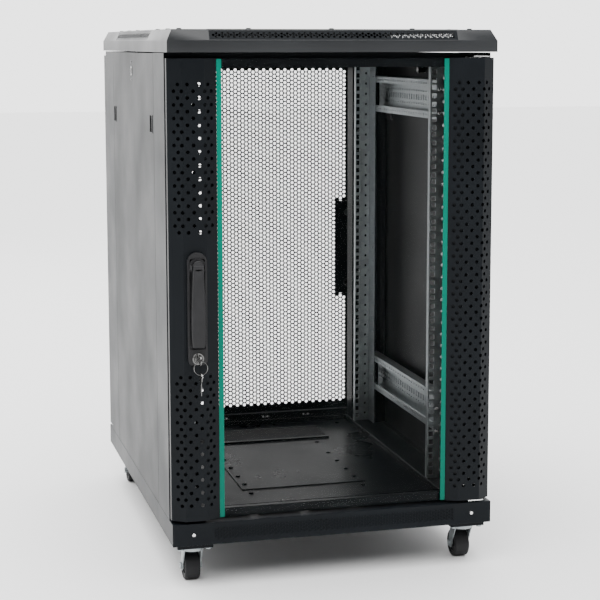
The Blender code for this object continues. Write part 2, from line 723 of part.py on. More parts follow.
def caster_fork(x, y, trail):
    """The swivel head, the two legs that reach back to the wheel, and the axle."""
    head_top = CASTER_HEIGHT - GAP - MOUNT_THICK - 3 - GAP
    head_low = head_top - 6
    shape = cylinder((x, y, (head_top + head_low) / 2), 20, 6, sides=32)
    axle = WHEEL_RADIUS
    leg = ((-13, head_low + 3), (13, head_low + 3), (24, axle + 6), (22, axle - 8),
           (12, axle - 8), (8, axle + 2))
    points = [(y + math.copysign(1, trail) * a, b) for a, b in leg]
    legs = []
    for inner, outer in ((15, 17), (-17, -15)):
        legs.append(outline(points, x + inner, x + outer, "X"))
    pin = cylinder((x, y + trail, axle), AXLE_RADIUS, 33, "X", 20)
    return join(shape, *legs, pin)


def caster_wheel(x, y):
    tyre = cylinder((x, y, WHEEL_RADIUS), WHEEL_RADIUS, WHEEL_WIDTH, "X", 40)
    return cut(tyre, cylinder((x, y, WHEEL_RADIUS), AXLE_RADIUS + 0.4, 60, "X", 24))


def casters():
    ends = {"front": (CASTER_INSET, CASTER_TRAIL), "rear": (DEPTH - CASTER_INSET, -CASTER_TRAIL)}
    x = CASTER_INSET - SIDE
    for end, (y, trail) in ends.items():
        both_sides(caster_mount(x, y), "caster_mount_" + end, "black_paint",
                   (x, y, CASTER_HEIGHT))
        both_sides(caster_fork(x, y, trail), "caster_fork_" + end, "zinc",
                   (x, y, CASTER_HEIGHT - MOUNT_THICK))
        both_sides(caster_wheel(x, y + trail), "caster_wheel_" + end, "tread",
                   (x, y + trail, WHEEL_RADIUS))


base_frame()
bottom_panel()
frames()
mounting_rails()
depth_rails()
top_cover()
fan_housing()
fan_rotor()
fan_guard()
door_columns()
door_inner_frame()
door_glass()
rear_door()
hinge_brackets()
swing_handles()
keys()
side_panels()
side_latches()
side_locks()
casters()
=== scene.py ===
"""Network rack cabinet: the finished look of every sheet, rail, lock, fan and caster.

Lengths in the modelling calls are millimetres in the cabinet's own frame: X from the middle
to the right, Y from the cover's front edge to the back, Z up from the floor.
"""
import math

import bmesh
import bpy
from bpy.props import FloatProperty, FloatVectorProperty, IntProperty, PointerProperty
from mathutils import Matrix, Vector


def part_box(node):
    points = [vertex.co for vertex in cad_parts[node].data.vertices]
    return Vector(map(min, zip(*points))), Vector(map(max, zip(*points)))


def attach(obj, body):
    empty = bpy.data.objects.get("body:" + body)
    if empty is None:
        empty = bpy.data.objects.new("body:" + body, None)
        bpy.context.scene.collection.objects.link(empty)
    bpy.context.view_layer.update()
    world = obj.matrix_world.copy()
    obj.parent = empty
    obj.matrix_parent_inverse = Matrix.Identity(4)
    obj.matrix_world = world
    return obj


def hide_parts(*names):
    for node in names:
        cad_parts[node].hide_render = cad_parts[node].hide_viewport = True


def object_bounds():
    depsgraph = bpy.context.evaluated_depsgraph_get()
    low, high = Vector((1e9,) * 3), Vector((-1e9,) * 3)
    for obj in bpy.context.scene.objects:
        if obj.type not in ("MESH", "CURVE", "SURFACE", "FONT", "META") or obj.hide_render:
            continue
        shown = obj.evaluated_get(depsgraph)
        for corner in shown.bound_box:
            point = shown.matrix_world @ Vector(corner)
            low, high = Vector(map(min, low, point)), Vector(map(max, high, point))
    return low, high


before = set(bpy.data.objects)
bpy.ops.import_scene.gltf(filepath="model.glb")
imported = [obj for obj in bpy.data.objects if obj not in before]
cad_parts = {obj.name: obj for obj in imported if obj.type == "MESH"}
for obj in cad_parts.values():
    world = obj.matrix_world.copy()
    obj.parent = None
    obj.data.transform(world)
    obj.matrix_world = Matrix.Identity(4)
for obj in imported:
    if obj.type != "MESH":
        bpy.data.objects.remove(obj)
CAD_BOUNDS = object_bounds()

bl_info = {
    "name": "Network rack cabinet",
    "version": (1, 0, 0),
    "blender": (4, 5, 0),
    "location": "3D View > Sidebar > Cabinet",
    "description": "Finishes a network rack cabinet around its packed model",
    "category": "Object",
}

MM = 0.001
COVER_LOW, COVER_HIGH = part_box("top_cover")
FRONT = COVER_LOW.y
SIDE = COVER_HIGH.x / MM
DEPTH = (COVER_HIGH.y - COVER_LOW.y) / MM
MIDDLE = DEPTH / 2
ROOF = COVER_HIGH.z / MM
RACK_UNITS = 18
UNIT = 44.45
UNIT_HOLES = (6.35, 22.225, 38.1)
FAN_SCREW = 52.5
SIDE_LOCK_Z = 911
SIDES = {"left": -1, "right": 1}
ENDS = ("front", "rear")


# Places and selections

def spot(x, y, z):
    """World metres from cabinet millimetres."""
    return Vector((x * MM, FRONT + y * MM, z * MM))


def reach(node):
    """A CAD node's lowest and highest corners in cabinet millimetres."""
    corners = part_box(node)
    return [Vector((c.x / MM, (c.y - FRONT) / MM, c.z / MM)) for c in corners]


def only(piece):
    bpy.ops.object.select_all(action="DESELECT")
    piece.select_set(True)
    bpy.context.view_layer.objects.active = piece


def settle(piece):
    """Puts a piece's place into its mesh."""
    only(piece)
    bpy.ops.object.transform_apply(location=True, rotation=True, scale=True)
    return piece


def open_faces(piece, test):
    """Starts editing a piece with the faces that pass the test selected."""
    only(piece)
    bpy.ops.object.mode_set(mode="EDIT")
    bpy.ops.mesh.select_mode(type="FACE")
    bpy.ops.mesh.select_all(action="DESELECT")
    mesh = bmesh.from_edit_mesh(piece.data)
    for face in mesh.faces:
        face.select_set(bool(test(face)))
    bpy.ops.mesh.select_mode(type="FACE")
    bmesh.update_edit_mesh(piece.data)


def close(piece):
    bpy.ops.object.mode_set(mode="OBJECT")
    return piece


# Starting shapes

def slab(x, y, z):
    centre = spot((x[0] + x[1]) / 2, (y[0] + y[1]) / 2, (z[0] + z[1]) / 2)
    size = Vector((x[1] - x[0], y[1] - y[0], z[1] - z[0])) * MM
    bpy.ops.mesh.primitive_cube_add(size=1, location=centre, scale=size)
    return settle(bpy.context.object)


def drum(centre, radius, length, axis="Z", sides=32, turn=0.0, top=None):
    """A round blank along an axis; turn swings a blank along Y about the vertical."""
    angles = {"X": (0, math.pi / 2, 0), "Y": (math.pi / 2, 0, turn), "Z": (0, 0, turn)}
    bpy.ops.mesh.primitive_cone_add(
        vertices=sides, radius1=radius * MM, radius2=(radius if top is None else top) * MM,
        depth=length * MM, location=spot(*centre), rotation=angles[axis])
    return settle(bpy.context.object)


def hoop(centre, radius, wire, axis="Z", sides=48, wire_sides=8):
    turn = (math.pi / 2, 0, 0) if axis == "Y" else (0, 0, 0)
    bpy.ops.mesh.primitive_torus_add(
        major_radius=radius * MM, minor_radius=wire * MM, major_segments=sides,
        minor_segments=wire_sides, location=spot(*centre), rotation=turn)
    return settle(bpy.context.object)


def take(node):
    """A welded copy of a CAD node, ready to be refined."""
    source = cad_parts[node]
    piece = source.copy()
    piece.data = source.data.copy()
    piece.parent = None
    piece.matrix_world = Matrix.Identity(4)
    piece.hide_render = piece.hide_viewport = False
    bpy.context.scene.collection.objects.link(piece)
    only(piece)
    bpy.ops.object.mode_set(mode="EDIT")
    bpy.ops.mesh.select_all(action="SELECT")
    bpy.ops.mesh.remove_doubles(threshold=1e-6)
    bpy.ops.mesh.dissolve_limited(angle_limit=math.radians(0.5))
    return close(piece)


# Shaping

def change(piece, kind, **settings):
    """Adds a modifier and applies it."""
    modifier = piece.modifiers.new(kind.title(), kind)
    for name, value in settings.items():
        setattr(modifier, name, value)
    only(piece)
    bpy.ops.object.modifier_apply(modifier=modifier.name)
    return piece


def soften(piece, width=0.6, segments=2, angle=32.0, clamp=True):
    """Rounds the edges, as folding, pressing or moulding leaves them."""
    return change(piece, "BEVEL", width=width * MM, segments=segments,
                  limit_method="ANGLE", angle_limit=math.radians(angle),
                  use_clamp_overlap=clamp)


def smooth(piece, angle=40.0):
    """Smooth shading that keeps corners sharp and broad faces flat."""
    only(piece)
    bpy.ops.object.shade_smooth_by_angle(angle=math.radians(angle))
    return change(piece, "WEIGHTED_NORMAL", keep_sharp=True)


def carve(piece, *tools):
    """Cuts tools out of a piece and throws them away."""
    for tool in tools:
        change(piece, "BOOLEAN", object=tool, operation="DIFFERENCE", solver="EXACT")
        bpy.data.objects.remove(tool)
    return piece


def repeat(piece, *steps):
    """Repeats a shape; each step is (count, (x, y, z) in millimetres)."""
    for count, move in steps:
        change(piece, "ARRAY", count=count, use_relative_offset=False,
               use_constant_offset=True, constant_offset_displace=Vector(move) * MM)
    return piece


def gather(*pieces):
    """Joins pieces into the first one."""
    if len(pieces) > 1:
        bpy.ops.object.select_all(action="DESELECT")
        for piece in pieces:
            piece.select_set(True)
        bpy.context.view_layer.objects.active = pieces[0]
        bpy.ops.object.join()
    return pieces[0]


def twin(piece, place):
    """A copy with its own mesh, moved by a matrix."""
    copy = piece.copy()
    copy.data = piece.data.copy()
    bpy.context.scene.collection.objects.link(copy)
    copy.matrix_world = place
    settle(copy)
    if place.determinant() < 0:
        open_faces(copy, lambda face: True)
        bpy.ops.mesh.normals_make_consistent(inside=False)
        close(copy)
    return copy


def mirrored(piece):
    return twin(piece, Matrix.Scale(-1, 4, (1, 0, 0)))


def turned_round(piece):
    """A copy turned half a turn about the upright axis through the cabinet's middle."""
    centre = spot(0, MIDDLE, 0)
    return twin(piece, Matrix.Translation(centre) @ Matrix.Rotation(math.pi, 4, "Z")
                @ Matrix.Translation(-centre))


def stretched(piece, test, steps):
    """Draws chosen faces out through steps of (move, scale) from their own middle."""
    open_faces(piece, test)
    for move, scale in steps:
        bpy.ops.mesh.extrude_region_move(
            TRANSFORM_OT_translate={"value": Vector(move) * MM})
        mesh = bmesh.from_edit_mesh(piece.data)
        chosen = [v.co for v in mesh.verts if v.select]
        middle = sum(chosen, Vector()) / len(chosen)
        bpy.ops.transform.resize(value=scale, center_override=middle)
    return close(piece)


def honeycomb(x, z, pierced_x, pierced_z, cell, web, keep_out=()):
    """A thin sheet facing -Y at Y = 0 with a hexagon punched in every cell inside the area."""
    across, rise = 1.5 * cell, math.sqrt(3) * cell
    columns = math.ceil((x[1] - x[0]) / (2 * across)) + 2
    rows = math.ceil((z[1] - z[0]) / rise) + 2
    bpy.ops.mesh.primitive_circle_add(
        vertices=6, radius=cell * MM, fill_type="NGON",
        location=Vector((x[0] - across, 0, z[0] - rise / 2)) * MM,
        rotation=(math.pi / 2, math.pi / 6, 0))
    sheet = settle(bpy.context.object)
    repeat(sheet, (2, (across, 0, rise / 2)), (columns, (2 * across, 0, 0)),
           (rows, (0, 0, rise)))
    open_faces(sheet, lambda face: True)
    bpy.ops.mesh.remove_doubles(threshold=cell * MM / 50)
    close(sheet)

    def punched(face):
        centre = face.calc_center_median() / MM
        margin = cell
        inside = (pierced_x[0] + margin <= centre.x <= pierced_x[1] - margin
                  and pierced_z[0] + margin <= centre.z <= pierced_z[1] - margin)
        return inside and not any(a[0] <= centre.x <= a[1] and b[0] <= centre.z <= b[1]
                                  for a, b in keep_out)

    open_faces(sheet, punched)
    bpy.ops.mesh.inset(thickness=web / 2 * MM, use_individual=True)
    bpy.ops.mesh.delete(type="FACE")
    for edge, normal in ((x[0], (-1, 0, 0)), (x[1], (1, 0, 0)),
                         (z[0], (0, 0, -1)), (z[1], (0, 0, 1))):
        bpy.ops.mesh.select_all(action="SELECT")
        bpy.ops.mesh.bisect(plane_co=Vector(normal) * abs(edge) * MM
                            * (1 if edge * sum(normal) > 0 else -1),
                            plane_no=normal, clear_outer=True)
    return close(sheet)


def screws(places, facing, radius, height, hexagon=False):
    """A set of screw heads; facing is the way that they point."""
    head = drum((0, 0, 0), radius, height, "Z", 6 if hexagon else 14)
    head.data.transform(Matrix.Translation((0, -FRONT, height / 2 * MM)))
    if hexagon:
        soften(head, height * 0.2, 2, 40)
    else:
        open_faces(head, lambda face: face.normal.z > 0.9)
        bpy.ops.mesh.bevel(offset=height * 0.55 * MM, segments=3, affect="EDGES")
        close(head)
        long, narrow = radius * 0.62 * MM, radius * 0.13 * MM
        for a, b in ((long, narrow), (narrow, long)):
            bpy.ops.mesh.primitive_cube_add(size=2, location=(0, 0, height * MM),
                                            scale=(a, b, height * 0.4 * MM))
            carve(head, settle(bpy.context.object))
    turn = Vector((0, 0, 1)).rotation_difference(Vector(facing)).to_matrix().to_4x4()
    copies = [twin(head, Matrix.Translation(spot(*place)) @ turn) for place in places]
    bpy.data.objects.remove(head)
    return smooth(gather(*copies), 35)


def fit(piece, name, body, slot, material, *nodes):
    """Names a finished piece, dresses it and hangs it on its body."""
    piece.name = piece.data.name = name
    piece.data.materials.clear()
    piece.data.materials.append(material)
    if nodes:
        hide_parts(*nodes)
    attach(piece, body)
    return piece


def stand_in(node, piece, body, slot, material, angle=40.0):
    """Smooths a piece and puts it in the place of one CAD node."""
    return fit(smooth(piece, angle), node + "_finished", body, slot, material, node)


# Finishes

def sheet_of_nodes(name):
    """A material's own nodes, or none if the material is there already."""
    material = bpy.data.materials.get(name)
    if material:
        return material, None, None
    material = bpy.data.materials.new(name)
    material.use_nodes = True
    tree = material.node_tree
    return material, tree, tree.nodes["Principled BSDF"]


def add(tree, kind, inputs=None, **settings):
    node = tree.nodes.new("ShaderNode" + kind)
    for name, value in settings.items():
        setattr(node, name, value)
    for name, value in (inputs or {}).items():
        if isinstance(value, bpy.types.NodeSocket):
            tree.links.new(value, node.inputs[name])
        else:
            node.inputs[name].default_value = value
    return node


def feed(tree, shader, **sockets):
    """Links values into a shader; Base_Color stands for Base Color."""
    for name, value in sockets.items():
        tree.links.new(value, shader.inputs[name.replace("_", " ")])


def stretch(tree, scale):
    """Object coordinates, stretched for streaks or brushing."""
    place = add(tree, "TexCoord").outputs["Object"]
    return add(tree, "Mapping", {"Vector": place, "Scale": scale}).outputs["Vector"]


def shades(tree, value, *stops):
    """A colour ramp; stops are (position, colour)."""
    ramp = add(tree, "ValToRGB", {"Fac": value})
    elements = ramp.color_ramp.elements
    while len(elements) < len(stops):
        elements.new(0.5)
    for element, (position, colour) in zip(elements, stops):
        element.position = position
        element.color = (*colour, 1)
    return ramp.outputs["Color"]


def span(tree, value, low, high, start=0.0, end=1.0):
    """A value from start..end spread over low..high."""
    return add(tree, "MapRange", {"Value": value, "From Min": start, "From Max": end,
                                  "To Min": low, "To Max": high}).outputs["Result"]


def relief(tree, height, strength, depth):
    return add(tree, "Bump", {"Height": height, "Strength": strength,
                              "Distance": depth}).outputs["Normal"]


def tinted(colour, factor):
    return tuple(min(1.0, c * factor) for c in colour)


def powder_coat(name, colour, rough=0.38, specular=0.09):
    """Fine-textured powder coat: orange peel, a little dust and cloudy gloss."""
    material, tree, shader = sheet_of_nodes(name)
    if tree is None:
        return material
    place = stretch(tree, (1, 1, 1))
    peel = add(tree, "TexNoise", {"Vector": place, "Scale": 900, "Detail": 3,
                                  "Roughness": 0.55}).outputs["Fac"]
    cloud = add(tree, "TexNoise", {"Vector": place, "Scale": 7, "Detail": 4}).outputs["Fac"]
    specks = add(tree, "TexNoise", {"Vector": place, "Scale": 420, "Detail": 2}).outputs["Fac"]
    base = shades(tree, cloud, (0.3, tinted(colour, 0.82)), (0.7, tinted(colour, 1.25)))
    dust = span(tree, specks, 0.0, 0.35, 0.66, 0.8)
    mixed = add(tree, "Mix", {"Factor": dust, 6: base,
                              7: (*tinted(colour, 3.2), 1)}, data_type="RGBA")
    feed(tree, shader, Base_Color=mixed.outputs[2],
         Roughness=span(tree, cloud, rough - 0.05, rough + 0.06, 0.3, 0.7),
         Normal=relief(tree, peel, 0.35, 0.00012))
    shader.inputs["Specular IOR Level"].default_value = specular
    return material


def zinc_plate(name="zinc_plate", colour=(0.34, 0.37, 0.38)):
    """Galvanised sheet: soft spangle and rolling streaks."""
    material, tree, shader = sheet_of_nodes(name)
    if tree is None:
        return material
    place = stretch(tree, (1, 1, 1))
    spangle = add(tree, "TexVoronoi", {"Vector": place, "Scale": 95}).outputs["Color"]
    grey = add(tree, "RGBToBW", {"Color": spangle}).outputs["Val"]
    streak = add(tree, "TexNoise", {"Vector": stretch(tree, (260, 260, 9)), "Scale": 1,
                                    "Detail": 3}).outputs["Fac"]
    both = add(tree, "Math", {0: grey, 1: streak}, operation="ADD").outputs[0]
    feed(tree, shader,
         Base_Color=shades(tree, span(tree, both, 0, 1, 0.3, 1.6),
                           (0.1, tinted(colour, 0.78)), (0.9, tinted(colour, 1.12))),
         Roughness=span(tree, both, 0.30, 0.52, 0.3, 1.6),
         Normal=relief(tree, streak, 0.12, 0.00008))
    shader.inputs["Metallic"].default_value = 0.85
    return material


def bright_plate(name="bright_plate", colour=(0.78, 0.78, 0.77)):
    """Nickel and chrome plate, brushed a little and marked by fingers."""
    material, tree, shader = sheet_of_nodes(name)
    if tree is None:
        return material
    brush = add(tree, "TexNoise", {"Vector": stretch(tree, (1400, 1400, 60)), "Scale": 1,
                                   "Detail": 2}).outputs["Fac"]
    smear = add(tree, "TexNoise", {"Vector": stretch(tree, (1, 1, 1)), "Scale": 120,
                                   "Detail": 3}).outputs["Fac"]
    feed(tree, shader,
         Base_Color=shades(tree, smear, (0.3, tinted(colour, 0.86)), (0.7, tinted(colour, 1.08))),
         Roughness=span(tree, smear, 0.12, 0.30, 0.3, 0.7),
         Normal=relief(tree, brush, 0.08, 0.00004))
    shader.inputs["Metallic"].default_value = 1.0
    return material


def moulded(name, colour, rough=0.5, grain=1600, specular=0.2):
    """Moulded plastic or polyurethane with a fine spark-eroded grain."""
    material, tree, shader = sheet_of_nodes(name)
    if tree is None:
        return material
    place = stretch(tree, (1, 1, 1))
    fine = add(tree, "TexVoronoi", {"Vector": place, "Scale": grain}).outputs["Distance"]
    haze = add(tree, "TexNoise", {"Vector": place, "Scale": 35, "Detail": 4}).outputs["Fac"]
    feed(tree, shader,
         Base_Color=shades(tree, haze, (0.3, tinted(colour, 0.8)), (0.75, tinted(colour, 1.5))),
         Roughness=span(tree, haze, rough - 0.08, rough + 0.1, 0.3, 0.7),
         Normal=relief(tree, fine, 0.25, 0.0001))
    shader.inputs["Specular IOR Level"].default_value = specular
    return material


def green_enamel():
    """Baked enamel on the back of the glass edge, with painted light: a darker green at the
    bottom and a lighter green at the top.
    """
    material, tree, shader = sheet_of_nodes("green_enamel")
    if tree is None:
        return material
    green = colour_of("stripe")
    # Painted light: the height up the door, mixed with a faint random wave, picks the green from
    # a shaded tint at the bottom to a lit tint at the top.
    height = add(tree, "SeparateXYZ", {"Vector": stretch(tree, (1, 1, 1))}).outputs["Z"]
    wave = add(tree, "TexNoise", {"Vector": stretch(tree, (60, 60, 14)), "Scale": 1,
                                  "Detail": 3}).outputs["Fac"]
    both = add(tree, "MixRGB", {"Fac": 0.12, "Color1": span(tree, height, 0, 1, 0.12, 0.94),
                                "Color2": wave}).outputs["Color"]
    feed(tree, shader,
         # Two tints of the one green: painted shade at the bottom, painted light at the top.
         Base_Color=shades(tree, both, (0.0, tinted(green, 0.72)), (1.0, tinted(green, 1.12))),
         Roughness=span(tree, wave, 0.22, 0.36, 0.3, 0.7))
    shader.inputs["Specular IOR Level"].default_value = 0.08
    return material


def tempered_glass():
    """Clear glass with a faint green body; reflections grow towards the edges."""
    material, tree, shader = sheet_of_nodes("tempered_glass")
    if tree is None:
        return material
    edge = add(tree, "LayerWeight", {"Blend": 0.25}).outputs["Fresnel"]
    smear = add(tree, "TexNoise", {"Vector": stretch(tree, (9, 9, 2.5)), "Scale": 1,
                                   "Detail": 5}).outputs["Fac"]
    cover = add(tree, "Math", {0: edge, 1: span(tree, smear, 0.0, 0.05, 0.45, 0.75)},
                operation="ADD", use_clamp=True).outputs[0]
    thin, thick = (0.010, 0.016, 0.015), (0.03, 0.045, 0.042)
    feed(tree, shader, Alpha=span(tree, cover, 0.02, 0.85, 0.04, 1.0),
         Base_Color=shades(tree, smear, (0.3, thin), (0.8, thick)),
         Roughness=span(tree, smear, 0.02, 0.07, 0.3, 0.7))
    shader.inputs["IOR"].default_value = 1.5
    return material


def bristle():
    return moulded("brush_bristle", (0.02, 0.02, 0.022), 0.75, 3000)


def colour_of(name):
    return tuple(getattr(bpy.context.scene.cabinet_finish, name))


def sheet_paint():
    return powder_coat("powder_coat", colour_of("paint"))


# Painted light: the side panels and latch rims get a lighter copy of the sheet paint, standing in
# for the lamps' reflection.
def panel_paint_with_painted_light():
    return powder_coat("panel_coat", colour_of("panel"), 0.42, 0.13)


def roof_paint():
    return powder_coat("roof_coat", colour_of("paint"), 0.44, 0.6)


def floor_paint():
    return powder_coat("floor_coat", colour_of("paint"), 0.30, 0.03)


def key_plate():
    return bright_plate("key_nickel", (0.13, 0.13, 0.128))


def lock_plastic():
    return moulded("lock_plastic", colour_of("plastic"), 0.42)


def wheel_rubber():
    return moulded("wheel_rubber", colour_of("tread"), 0.55, 900)


# Settings

def colour(name, description, default):
    return FloatVectorProperty(name=name, description=description, subtype="COLOR",
                               default=default, min=0, max=1)


def length(name, description, default):
    return FloatProperty(name=name, description=description, default=default, unit="LENGTH")


class CabinetFinish(bpy.types.PropertyGroup):
    paint: colour("Sheet paint", "Powder coat on doors, cover, frames and base",
                  (0.0050, 0.0064, 0.0080))
    # The side panel colour is the sheet paint made a little lighter and less blue: painted light
    # for the lamps' reflection on the panels.
    panel: colour("Side panel paint", "Powder coat on the two side panels",
                  (0.0066, 0.0076, 0.0086))
    stripe: colour("Stripe", "Enamel stripe beside each door column", (0.0, 0.155, 0.105))
    plastic: colour("Lock plastic", "Handles, fan housings and latches", (0.014, 0.014, 0.015))
    tread: colour("Tread", "Caster wheels", (0.012, 0.012, 0.013))
    floor: colour("Floor", "Studio floor", (0.86, 0.86, 0.86))


class CabinetPattern(bpy.types.PropertyGroup):
    column_hole: length("Column hole", "Diameter of a door column's round holes", 0.0068)
    column_pitch: length("Column row pitch", "Height between two rows of column holes", 0.0116)
    door_cell: length("Rear door cell", "Corner radius of a rear door hexagon cell", 0.005427)
    door_web: length("Rear door web", "Metal left between two hexagons", 0.0029)
    vent_cell: length("Vent cell", "Corner radius of a vent strip's hexagon cell", 0.0035)
    rack_hole: length("Rack hole", "Side of a square mounting hole", 0.0095)
    blades: IntProperty(name="Fan blades", description="Blades on each fan rotor", default=7,
                        min=3, max=11)


def pattern():
    return bpy.context.scene.cabinet_pattern


def vent_sheet(x, z, place):
    """A strip of fine honeycomb, 1 mm thick, moved into a window."""
    cell = pattern().vent_cell / MM
    margin = 3.0
    sheet = honeycomb((x[0] - margin, x[1] + margin), (z[0] - margin, z[1] + margin),
                      x, z, cell, 1.4)
    change(sheet, "SOLIDIFY", thickness=0.9 * MM, offset=-1)
    sheet.matrix_world = place
    return settle(sheet)


# Base

class CABINET_OT_base(bpy.types.Operator):
    """Plinth with its perforated front strip, and the floor tray with its cable entry"""
    bl_idname = "cabinet.base"
    bl_label = "Base and floor"

    def execute(self, context):
        low, high = reach("base_frame")
        x, z = (-230.0, 229.0), (84.0, 113.0)
        plinth = soften(take("base_frame"), 1.0)
        for side in (low.y, high.y):
            carve(plinth, slab(x, (side - 1.7, side + 1.7), z))
        fit(smooth(plinth), "plinth", "cabinet", "black_paint", sheet_paint(), "base_frame")
        for end, y in (("front", low.y + 0.2), ("rear", high.y - 1.1)):
            strip = vent_sheet(x, z, Matrix.Translation(spot(0, y, 0)))
            fit(smooth(strip), "plinth_vent_" + end, "cabinet", "black_paint", sheet_paint())
        heads = screws([(s * 262, low.y, 98) for s in (-1, 1)], (0, -1, 0), 3.2, 1.4)
        fit(heads, "plinth_screws", "cabinet", "chrome", bright_plate())
        self.floor()
        low, high = reach("bottom_panel")
        sill = vent_sheet((-226, 226), (low.z + 2, 132),
                          Matrix.Translation(spot(0, high.y - 3.2, 0)))
        fit(smooth(sill), "floor_rear_vent", "cabinet", "black_paint", sheet_paint())
        return {"FINISHED"}

    def floor(self):
        tray = soften(take("bottom_panel"), 0.8)
        top = reach("bottom_panel")[0].z + 1.5
        fit(smooth(tray), "floor_tray", "cabinet", "black_paint", floor_paint(),
            "bottom_panel")
        plate = slab((-124, 124), (226, 566), (top + 0.1, top + 1.8))
        soften(plate, 0.7, 3)
        fit(smooth(plate), "floor_plate", "cabinet", "black_paint", floor_paint())
        bolts = [(x, y, top + (1.8 if y > 226 else 0)) for x in (-112, 112)
                 for y in (202, 262, 321, 388, 455, 548)]
        bolts += [(x, y, top) for y in (90, 715) for x in (-205, 205)]
        fit(screws(bolts, (0, 0, 1), 4.6, 2.4), "floor_bolts", "cabinet", "black_paint",
            sheet_paint())
        brush_strips("floor_brush", (-150, 150), (590, 690), top)


def brush_strips(name, x, y, z):
    """Two rows of bristles that close a cable entry, in aluminium holders that get the sheet
    paint here.
    """
    rows, holders = [], []
    middle = (y[0] + y[1]) / 2
    for edge, inward in ((y[0], 1), (y[1], -1)):
        holder = slab((x[0], x[1]), sorted((edge - inward * 4, edge + inward * 6)),
                      (z + 0.1, z + 4))
        holders.append(soften(holder, 0.8))
        for lift, phase in ((1.2, 0.0), (2.4, 1.0)):
            tuft = slab((x[0] + 1 + phase, x[0] + 2.3 + phase),
                        sorted((edge + inward * 3, middle + inward * (1.5 - 2 * phase))),
                        (z + lift, z + lift + 0.9))
            stretched(tuft, lambda face: face.normal.y * inward > 0.9,
                      [((0, inward * 1.5, -0.3), (0.6, 1, 0.6))])
            rows.append(repeat(tuft, (int((x[1] - x[0] - 4) / 2), (2.0, 0, 0))))
    fit(gather(*rows), name, "cabinet", "black_plastic", bristle())
    fit(smooth(gather(*holders)), name + "_holders", "cabinet", "black_paint", sheet_paint())


# Frames and rails

class CABINET_OT_frames(bpy.types.Operator):
    """The two folded frames, the four hinge brackets and their screws"""
    bl_idname = "cabinet.frames"
    bl_label = "Frames and hinges"

    def execute(self, context):
        for end in ENDS:
            node = end + "_frame"
            low = reach(node)[0]
            piece = soften(take(node), 0.6)
            y = 52 if end == "front" else DEPTH - 52
            holes = drum((-250, y, 170), 3.0, 8, "Y", 12)
            repeat(holes, (26, (0, 0, 30)), (2, (500, 0, 0)))
            ovals = slab((-150, -132), (y - 4, y + 4), (low.z + 5, low.z + 11))
            soften(ovals, 2.9, 4)
            repeat(ovals, (4, (94, 0, 0)))
            carve(piece, holes, ovals)
            stand_in(node, piece, "cabinet", "black_paint", sheet_paint())
            for level in ("top", "bottom"):
                self.hinge(end, level)
        return {"FINISHED"}

    def hinge(self, end, level):
        node = f"{end}_hinge_{level}"
        low, high = reach(node)
        piece = soften(take(node), 0.4, 2, 32)
        stand_in(node, piece, "cabinet", "zinc", bright_plate())
        foot, way = (high.y - 1.7, -1) if end == "front" else (low.y + 1.7, 1)
        x = (low.x + high.x) / 2
        z = (low.z + high.z) / 2
        places = [(x + dx, foot, z) for dx in (-7, 7)]
        fit(screws(places, (0, way, 0), 3.0, 1.8), node + "_screws", "cabinet", "chrome",
            bright_plate())


